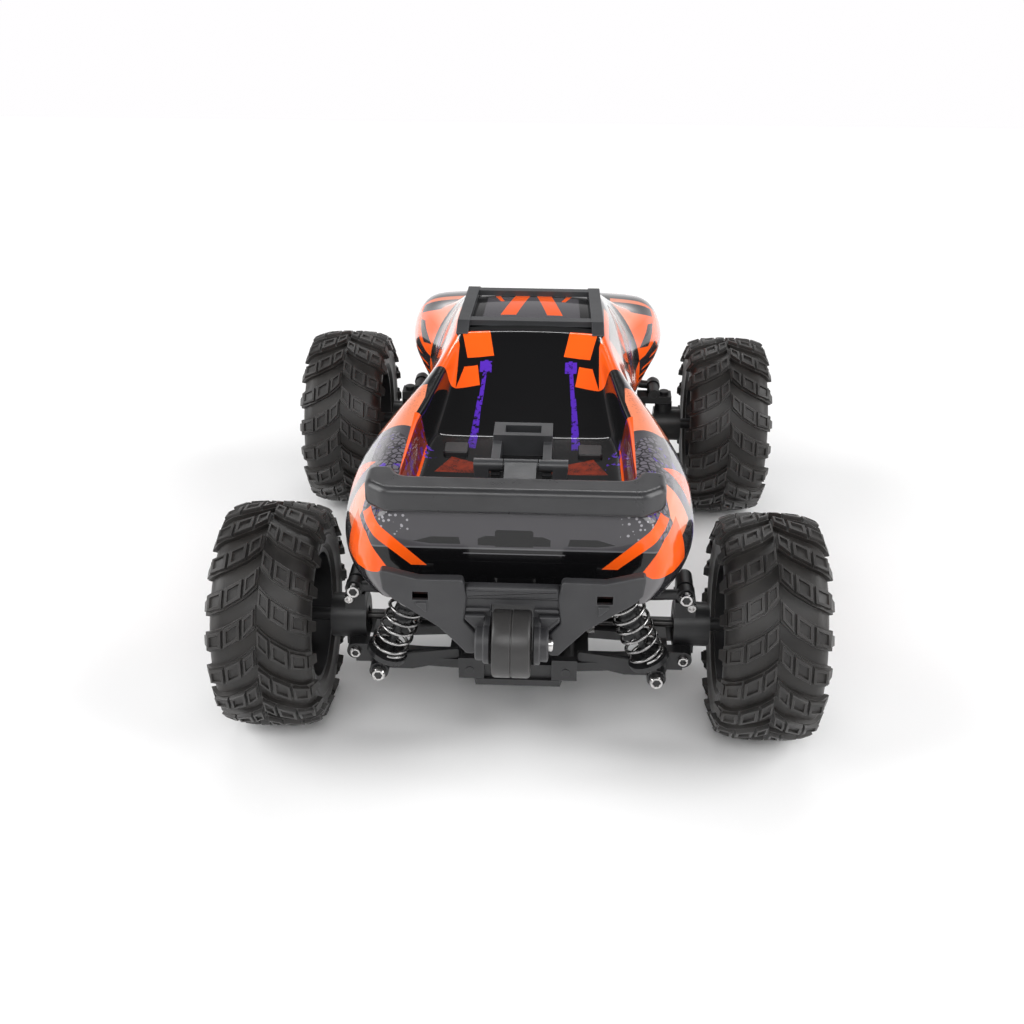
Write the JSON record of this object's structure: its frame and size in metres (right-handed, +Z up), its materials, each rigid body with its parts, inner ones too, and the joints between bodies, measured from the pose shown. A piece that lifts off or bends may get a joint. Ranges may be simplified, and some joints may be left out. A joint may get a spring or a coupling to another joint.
{
  "type": "radio-controlled monster truck",
  "caption": "Four-wheel-drive radio-controlled monster truck with working suspension, steering, drive line and a tilting printed body shell.",
  "frame": {"origin": "on the ground under the middle of the truck's bounding box", "axes": "+Y is the truck's forward direction, +X its right side, +Z up"},
  "size_m": [0.215, 0.301, 0.125],
  "materials": {
    "tyre": "black rubber, soft sheen",
    "rim_plastic": "satin black",
    "nylon": "black moulded nylon",
    "tub_plastic": "black moulded plastic, fine texture",
    "shell": "clear-coated printed shell, orange on black",
    "steel": "bright steel",
    "shock_plastic": "semi-gloss black",
    "motor_can": "drawn steel can",
    "battery_wrap": "blue shrink wrap",
    "electronics": "black case",
    "gear_plastic": "black acetal",
    "satin_trim": "satin dark grey",
    "roller_plastic": "hard black plastic"
  },
  "bodies": {
    "chassis": {"chassis_tub": "tub_plastic", "rear_gearbox": "nylon", "front_gearbox": "nylon", "motor": "motor_can", "steering_servo": "electronics", "battery_pack": "battery_wrap", "speed_controller": "electronics", "front_bumper": "satin_trim", "rear_bumper": "satin_trim"},
    "rear_left_arm": {"rear_left_lower_arm": "nylon"},
    "rear_left_carrier": {"rear_left_hub_carrier": "nylon"},
    "rear_left_link": {"rear_left_upper_link": "nylon"},
    "rear_left_shock": {"rear_left_shock_body": "shock_plastic", "rear_left_spring": "steel"},
    "rear_left_rod": {"rear_left_shock_rod": "steel"},
    "rear_left_wheel": {"rear_left_tyre": "tyre", "rear_left_rim": "rim_plastic"},
    "rear_left_halfshaft": {"rear_left_dogbone": "steel"},
    "rear_right_arm": {"rear_right_lower_arm": "nylon"},
    "rear_right_carrier": {"rear_right_hub_carrier": "nylon"},
    "rear_right_link": {"rear_right_upper_link": "nylon"},
    "rear_right_shock": {"rear_right_shock_body": "shock_plastic", "rear_right_spring": "steel"},
    "rear_right_rod": {"rear_right_shock_rod": "steel"},
    "rear_right_wheel": {"rear_right_tyre": "tyre", "rear_right_rim": "rim_plastic"},
    "rear_right_halfshaft": {"rear_right_dogbone": "steel"},
    "rear_diff": {"rear_differential": "gear_plastic"},
    "front_left_arm": {"front_left_lower_arm": "nylon"},
    "front_left_caster": {"front_left_caster_block": "nylon"},
    "front_left_link": {"front_left_upper_link": "nylon"},
    "front_left_shock": {"front_left_shock_body": "shock_plastic", "front_left_spring": "steel"},
    "front_left_rod": {"front_left_shock_rod": "steel"},
    "front_left_knuckle": {"front_left_steering_knuckle": "nylon"},
    "front_left_wheel": {"front_left_tyre": "tyre", "front_left_rim": "rim_plastic"},
    "front_left_halfshaft": {"front_left_dogbone": "steel"},
    "front_right_arm": {"front_right_lower_arm": "nylon"},
    "front_right_caster": {"front_right_caster_block": "nylon"},
    "front_right_link": {"front_right_upper_link": "nylon"},
    "front_right_shock": {"front_right_shock_body": "shock_plastic", "front_right_spring": "steel"},
    "front_right_rod": {"front_right_shock_rod": "steel"},
    "front_right_knuckle": {"front_right_steering_knuckle": "nylon"},
    "front_right_wheel": {"front_right_tyre": "tyre", "front_right_rim": "rim_plastic"},
    "front_right_halfshaft": {"front_right_dogbone": "steel"},
    "front_diff": {"front_differential": "gear_plastic"},
    "centre_shaft": {"centre_driveshaft": "steel"},
    "pinion": {"pinion_gear": "steel"},
    "drag_link": {"steering_drag_link": "nylon"},
    "left_steering_rod": {"left_tie_rod": "nylon"},
    "right_steering_rod": {"right_tie_rod": "nylon"},
    "roller": {"wheelie_roller": "roller_plastic"},
    "body": {"body_shell": "shell", "roof_rack": "satin_trim", "tail_pad": "satin_trim", "latch_base": "satin_trim"},
    "latch": {"latch_lever": "satin_trim"}
  },
  "joints": [
    {"name": "rear_left_suspension", "type": "hinge", "parent": "chassis", "child": "rear_left_arm", "pos_m": [-0.017, -0.0775, 0.031], "axis": [0, 1, 0], "range_deg": [-7, 11], "stiffness_Nm_per_rad": 2.6, "springref_deg": -5.73},
    {"name": "rear_left_carrier_pivot", "type": "hinge", "parent": "rear_left_arm", "child": "rear_left_carrier", "pos_m": [-0.0587, -0.0775, 0.033], "axis": [0, 1, 0], "range_deg": [-11.5, 7.5]},
    {"name": "rear_left_link_pivot", "type": "hinge", "parent": "chassis", "child": "rear_left_link", "pos_m": [-0.017, -0.0775, 0.055], "axis": [0, 1, 0], "range_deg": [-7.5, 11.5]},
    {"name": "rear_left_shock_pivot", "type": "hinge", "parent": "chassis", "child": "rear_left_shock", "pos_m": [-0.029, -0.0985, 0.08], "axis": [0, 1, 0], "range_deg": [-1.84, 2.61]},
    {"name": "rear_left_shock_travel", "type": "slide", "parent": "rear_left_shock", "child": "rear_left_rod", "axis": [-0.3848, 0, -0.923], "range_m": [-0.00611, 0.004], "deforming": ["rear_left_spring"]},
    {"name": "rear_left_wheel_spin", "type": "hinge", "parent": "rear_left_carrier", "child": "rear_left_wheel", "pos_m": [-0.088, -0.0775, 0.041], "axis": [1, 0, 0], "continuous": true},
    {"name": "rear_left_dogbone_spin", "type": "hinge", "parent": "rear_left_arm", "child": "rear_left_halfshaft", "pos_m": [-0.04, -0.0775, 0.041], "axis": [1, 0, 0], "continuous": true},
    {"name": "rear_right_suspension", "type": "hinge", "parent": "chassis", "child": "rear_right_arm", "pos_m": [0.017, -0.0775, 0.031], "axis": [0, -1, 0], "range_deg": [-7, 11], "stiffness_Nm_per_rad": 2.6, "springref_deg": -5.73},
    {"name": "rear_right_carrier_pivot", "type": "hinge", "parent": "rear_right_arm", "child": "rear_right_carrier", "pos_m": [0.0587, -0.0775, 0.033], "axis": [0, -1, 0], "range_deg": [-11.5, 7.5]},
    {"name": "rear_right_link_pivot", "type": "hinge", "parent": "chassis", "child": "rear_right_link", "pos_m": [0.017, -0.0775, 0.055], "axis": [0, -1, 0], "range_deg": [-7.5, 11.5]},
    {"name": "rear_right_shock_pivot", "type": "hinge", "parent": "chassis", "child": "rear_right_shock", "pos_m": [0.029, -0.0985, 0.08], "axis": [0, -1, 0], "range_deg": [-1.84, 2.61]},
    {"name": "rear_right_shock_travel", "type": "slide", "parent": "rear_right_shock", "child": "rear_right_rod", "axis": [0.3848, 0, -0.923], "range_m": [-0.00611, 0.004], "deforming": ["rear_right_spring"]},
    {"name": "rear_right_wheel_spin", "type": "hinge", "parent": "rear_right_carrier", "child": "rear_right_wheel", "pos_m": [0.088, -0.0775, 0.041], "axis": [1, 0, 0], "continuous": true},
    {"name": "rear_right_dogbone_spin", "type": "hinge", "parent": "rear_right_arm", "child": "rear_right_halfshaft", "pos_m": [0.04, -0.0775, 0.041], "axis": [1, 0, 0], "continuous": true},
    {"name": "rear_differential_spin", "type": "hinge", "parent": "chassis", "child": "rear_diff", "pos_m": [0, -0.0775, 0.041], "axis": [1, 0, 0], "continuous": true},
    {"name": "front_left_suspension", "type": "hinge", "parent": "chassis", "child": "front_left_arm", "pos_m": [-0.017, 0.1005, 0.031], "axis": [0, 1, 0], "range_deg": [-7, 11], "stiffness_Nm_per_rad": 2.6, "springref_deg": -5.73},
    {"name": "front_left_caster_pivot", "type": "hinge", "parent": "front_left_arm", "child": "front_left_caster", "pos_m": [-0.055, 0.1005, 0.0278], "axis": [0, 1, 0], "range_deg": [-11.5, 7.5]},
    {"name": "front_left_link_pivot", "type": "hinge", "parent": "chassis", "child": "front_left_link", "pos_m": [-0.017, 0.1005, 0.061], "axis": [0, 1, 0], "range_deg": [-7.5, 11.5]},
    {"name": "front_left_shock_pivot", "type": "hinge", "parent": "chassis", "child": "front_left_shock", "pos_m": [-0.029, 0.1215, 0.08], "axis": [0, 1, 0], "range_deg": [-1.07, 1.39]},
    {"name": "front_left_shock_travel", "type": "slide", "parent": "front_left_shock", "child": "front_left_rod", "axis": [-0.2742, 0, -0.9617], "range_m": [-0.00512, 0.00337], "deforming": ["front_left_spring"]},
    {"name": "front_left_steer", "type": "hinge", "parent": "front_left_caster", "child": "front_left_knuckle", "pos_m": [-0.06, 0.1005, 0.041], "axis": [0, 0, 1], "range_deg": [-22, 22]},
    {"name": "front_left_wheel_spin", "type": "hinge", "parent": "front_left_knuckle", "child": "front_left_wheel", "pos_m": [-0.088, 0.1005, 0.041], "axis": [1, 0, 0], "continuous": true},
    {"name": "front_left_dogbone_spin", "type": "hinge", "parent": "front_left_arm", "child": "front_left_halfshaft", "pos_m": [-0.04, 0.1005, 0.041], "axis": [1, 0, 0], "continuous": true},
    {"name": "front_right_suspension", "type": "hinge", "parent": "chassis", "child": "front_right_arm", "pos_m": [0.017, 0.1005, 0.031], "axis": [0, -1, 0], "range_deg": [-7, 11], "stiffness_Nm_per_rad": 2.6, "springref_deg": -5.73},
    {"name": "front_right_caster_pivot", "type": "hinge", "parent": "front_right_arm", "child": "front_right_caster", "pos_m": [0.055, 0.1005, 0.0278], "axis": [0, -1, 0], "range_deg": [-11.5, 7.5]},
    {"name": "front_right_link_pivot", "type": "hinge", "parent": "chassis", "child": "front_right_link", "pos_m": [0.017, 0.1005, 0.061], "axis": [0, -1, 0], "range_deg": [-7.5, 11.5]},
    {"name": "front_right_shock_pivot", "type": "hinge", "parent": "chassis", "child": "front_right_shock", "pos_m": [0.029, 0.1215, 0.08], "axis": [0, -1, 0], "range_deg": [-1.07, 1.39]},
    {"name": "front_right_shock_travel", "type": "slide", "parent": "front_right_shock", "child": "front_right_rod", "axis": [0.2742, 0, -0.9617], "range_m": [-0.00512, 0.00337], "deforming": ["front_right_spring"]},
    {"name": "front_right_steer", "type": "hinge", "parent": "front_right_caster", "child": "front_right_knuckle", "pos_m": [0.06, 0.1005, 0.041], "axis": [0, 0, 1], "range_deg": [-22.5, 22.5]},
    {"name": "front_right_wheel_spin", "type": "hinge", "parent": "front_right_knuckle", "child": "front_right_wheel", "pos_m": [0.088, 0.1005, 0.041], "axis": [1, 0, 0], "continuous": true},
    {"name": "front_right_dogbone_spin", "type": "hinge", "parent": "front_right_arm", "child": "front_right_halfshaft", "pos_m": [0.04, 0.1005, 0.041], "axis": [1, 0, 0], "continuous": true},
    {"name": "front_differential_spin", "type": "hinge", "parent": "chassis", "child": "front_diff", "pos_m": [0, 0.1005, 0.041], "axis": [1, 0, 0], "continuous": true},
    {"name": "centre_shaft_spin", "type": "hinge", "parent": "chassis", "child": "centre_shaft", "pos_m": [0, 0, 0.041], "axis": [0, 1, 0], "continuous": true},
    {"name": "pinion_spin", "type": "hinge", "parent": "chassis", "child": "pinion", "pos_m": [0.01619, 0, 0.0465], "axis": [0, 1, 0], "continuous": true},
    {"name": "drag_link_slide", "type": "slide", "parent": "chassis", "child": "drag_link", "axis": [1, 0, 0], "range_m": [-0.0086, 0.0086]},
    {"name": "left_tie_rod_pivot", "type": "hinge", "parent": "drag_link", "child": "left_steering_rod", "pos_m": [-0.012, 0.078, 0.0308], "axis": [0, 1, 0], "range_deg": [-7.5, 11.5]},
    {"name": "right_tie_rod_pivot", "type": "hinge", "parent": "drag_link", "child": "right_steering_rod", "pos_m": [0.012, 0.078, 0.0308], "axis": [0, -1, 0], "range_deg": [-7.5, 11.5]},
    {"name": "wheelie_roller_spin", "type": "hinge", "parent": "chassis", "child": "roller", "pos_m": [0, -0.13975, 0.071], "axis": [1, 0, 0], "continuous": true},
    {"name": "body_tilt", "type": "hinge", "parent": "chassis", "child": "body", "pos_m": [0, 0.127, 0.072], "axis": [-1, 0, 0], "range_deg": [0, 60]},
    {"name": "latch_lever_pivot", "type": "hinge", "parent": "body", "child": "latch", "pos_m": [0, -0.0775, 0.103], "axis": [-1, 0, 0], "range_deg": [0, 75]}
  ],
  "couplings": [
    {"joint": "rear_left_carrier_pivot", "follows": "rear_left_suspension", "ratio": -1},
    {"joint": "rear_left_link_pivot", "follows": "rear_left_suspension", "ratio": 1},
    {"joint": "rear_left_shock_pivot", "follows": "rear_left_suspension", "ratio": 0.19216},
    {"joint": "rear_left_shock_travel", "follows": "rear_left_suspension", "m_per_rad": -0.030287},
    {"joint": "rear_right_carrier_pivot", "follows": "rear_right_suspension", "ratio": -1},
    {"joint": "rear_right_link_pivot", "follows": "rear_right_suspension", "ratio": 1},
    {"joint": "rear_right_shock_pivot", "follows": "rear_right_suspension", "ratio": 0.19216},
    {"joint": "rear_right_shock_travel", "follows": "rear_right_suspension", "m_per_rad": -0.030287},
    {"joint": "front_left_caster_pivot", "follows": "front_left_suspension", "ratio": -1},
    {"joint": "front_left_link_pivot", "follows": "front_left_suspension", "ratio": 1},
    {"joint": "front_left_shock_pivot", "follows": "front_left_suspension", "ratio": 0.081138},
    {"joint": "front_left_shock_travel", "follows": "front_left_suspension", "m_per_rad": -0.025128},
    {"joint": "front_right_caster_pivot", "follows": "front_right_suspension", "ratio": -1},
    {"joint": "front_right_link_pivot", "follows": "front_right_suspension", "ratio": 1},
    {"joint": "front_right_shock_pivot", "follows": "front_right_suspension", "ratio": 0.081138},
    {"joint": "front_right_shock_travel", "follows": "front_right_suspension", "m_per_rad": -0.025128},
    {"joint": "rear_left_dogbone_spin", "follows": "rear_left_wheel_spin", "ratio": 1},
    {"joint": "rear_right_wheel_spin", "follows": "rear_left_wheel_spin", "ratio": 1},
    {"joint": "rear_right_dogbone_spin", "follows": "rear_left_wheel_spin", "ratio": 1},
    {"joint": "rear_differential_spin", "follows": "rear_left_wheel_spin", "ratio": 1},
    {"joint": "front_left_wheel_spin", "follows": "rear_left_wheel_spin", "ratio": 1},
    {"joint": "front_left_dogbone_spin", "follows": "rear_left_wheel_spin", "ratio": 1},
    {"joint": "front_right_wheel_spin", "follows": "rear_left_wheel_spin", "ratio": 1},
    {"joint": "front_right_dogbone_spin", "follows": "rear_left_wheel_spin", "ratio": 1},
    {"joint": "front_differential_spin", "follows": "rear_left_wheel_spin", "ratio": 1},
    {"joint": "centre_shaft_spin", "follows": "rear_left_wheel_spin", "ratio": -2.7273},
    {"joint": "pinion_spin", "follows": "rear_left_wheel_spin", "ratio": 9.2308},
    {"joint": "front_right_steer", "follows": "front_left_steer", "ratio": 1},
    {"joint": "drag_link_slide", "follows": "front_left_steer", "m_per_rad": 0.022},
    {"joint": "left_tie_rod_pivot", "follows": "front_left_suspension", "ratio": 0.80851},
    {"joint": "right_tie_rod_pivot", "follows": "front_right_suspension", "ratio": 0.80851}
  ]
}
